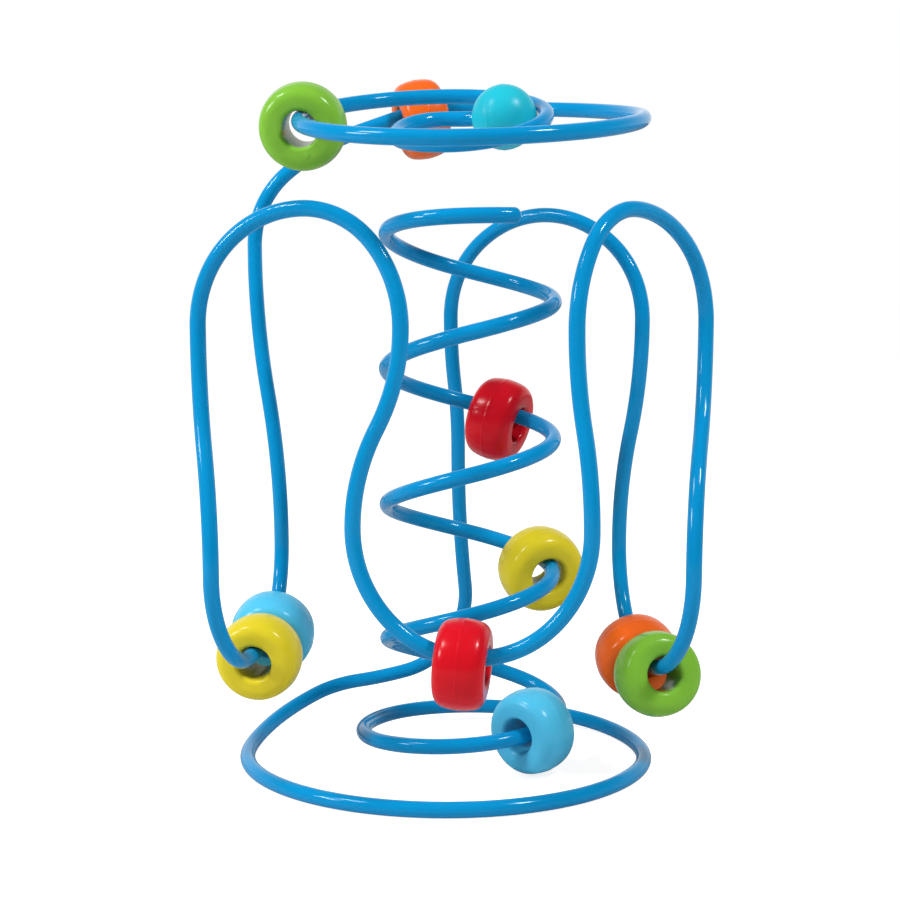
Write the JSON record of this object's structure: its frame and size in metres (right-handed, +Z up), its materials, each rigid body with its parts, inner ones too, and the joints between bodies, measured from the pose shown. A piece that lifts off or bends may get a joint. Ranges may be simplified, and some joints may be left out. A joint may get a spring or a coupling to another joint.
{
  "type": "bead maze",
  "caption": "Toddler's bead maze: one coated wire bent into a base spiral, upright coil, crown of arches and dips and a top spiral, with loose ring beads that slide along it.",
  "frame": {"origin": "on the table under the middle of the part's outline in plan", "axes": "+Z up, the picture's camera looks along +Y, +X is to its right"},
  "size_m": [0.1425, 0.1213, 0.1988],
  "materials": {
    "wire_coat": "gloss",
    "ball_turquoise": "gloss",
    "bead_green": "gloss",
    "bead_orange": "gloss",
    "bead_red": "gloss",
    "bead_yellow": "gloss",
    "bead_lightblue": "gloss"
  },
  "bodies": {
    "wire_frame": {"base_ring": "wire_coat", "base_inner_turn": "wire_coat", "coil_foot": "wire_coat", "coil_low": "wire_coat", "coil_middle": "wire_coat", "coil_high": "wire_coat", "coil_tip": "wire_coat", "left_back_leg": "wire_coat", "left_dip": "wire_coat", "left_front_leg": "wire_coat", "left_arch": "wire_coat", "front_left_leg": "wire_coat", "front_dip": "wire_coat", "front_right_leg": "wire_coat", "right_arch": "wire_coat", "right_front_leg": "wire_coat", "right_dip": "wire_coat", "right_back_leg": "wire_coat", "back_arch": "wire_coat", "back_leg": "wire_coat", "top_outer_turn": "wire_coat", "top_inner_turn": "wire_coat", "end_ball": "ball_turquoise"},
    "green_top_bead": {"bead_green_top": "bead_green"},
    "orange_top_bead": {"bead_orange_top": "bead_orange"},
    "red_coil_bead": {"bead_red_coil": "bead_red"},
    "yellow_coil_bead": {"bead_yellow_coil": "bead_yellow"},
    "red_front_bead": {"bead_red_front": "bead_red"},
    "lightblue_base_bead": {"bead_lightblue_base": "bead_lightblue"},
    "yellow_left_bead": {"bead_yellow_left": "bead_yellow"},
    "lightblue_left_bead": {"bead_lightblue_left": "bead_lightblue"},
    "orange_right_bead": {"bead_orange_right": "bead_orange"},
    "green_right_bead": {"bead_green_right": "bead_green"}
  },
  "joints": [
    {"name": "green_top_bead_travel", "type": "hinge", "parent": "wire_frame", "child": "green_top_bead", "pos_m": [-0.00072, -0.01407, 0.18356], "axis": [0.0433, 0.2046, -0.9779], "range_deg": [-70, 35]},
    {"name": "orange_top_bead_travel", "type": "hinge", "parent": "wire_frame", "child": "orange_top_bead", "pos_m": [-0.00339, 0.03047, 0.17688], "axis": [0.0389, 0.5499, -0.8344], "range_deg": [-14, 22]},
    {"name": "red_coil_bead_travel", "type": "hinge", "parent": "wire_frame", "child": "red_coil_bead", "pos_m": [0.00393, -0.00571, 0.10199], "axis": [0.2332, -0.0368, 0.9717], "range_deg": [-75, 7]},
    {"name": "yellow_coil_bead_travel", "type": "hinge", "parent": "wire_frame", "child": "yellow_coil_bead", "pos_m": [0.0033, -0.0049, 0.05912], "axis": [0.0881, -0.1745, 0.9807], "range_deg": [-70, 22]},
    {"name": "red_front_bead_travel", "type": "hinge", "parent": "wire_frame", "child": "red_front_bead", "pos_m": [0.0039, -0.0485, 0.07176], "axis": [-0.1564, -0.9877, 0], "range_deg": [-75, 75]},
    {"name": "lightblue_base_bead_travel", "type": "hinge", "parent": "wire_frame", "child": "lightblue_base_bead", "pos_m": [0.00169, 0.0106, 0.01234], "axis": [-0.0473, -0.0525, 0.9975], "range_deg": [0, 45]},
    {"name": "yellow_left_bead_travel", "type": "hinge", "parent": "wire_frame", "child": "yellow_left_bead", "pos_m": [-0.0619, -0.00973, 0.06301], "axis": [-0.9538, 0.1975, -0.2264], "range_deg": [0, 62]},
    {"name": "lightblue_left_bead_travel", "type": "hinge", "parent": "wire_frame", "child": "lightblue_left_bead", "pos_m": [-0.06162, -0.0085, 0.06289], "axis": [-0.9538, 0.1975, -0.2264], "range_deg": [-35, 0]},
    {"name": "orange_right_bead_travel", "type": "hinge", "parent": "wire_frame", "child": "orange_right_bead", "pos_m": [0.05669, -0.00432, 0.0625], "axis": [0.9732, 0.2229, -0.0563], "range_deg": [0, 36]},
    {"name": "green_right_bead_travel", "type": "hinge", "parent": "wire_frame", "child": "green_right_bead", "pos_m": [0.05669, -0.00432, 0.0625], "axis": [0.9732, 0.2229, -0.0563], "range_deg": [-44, 0]}
  ]
}
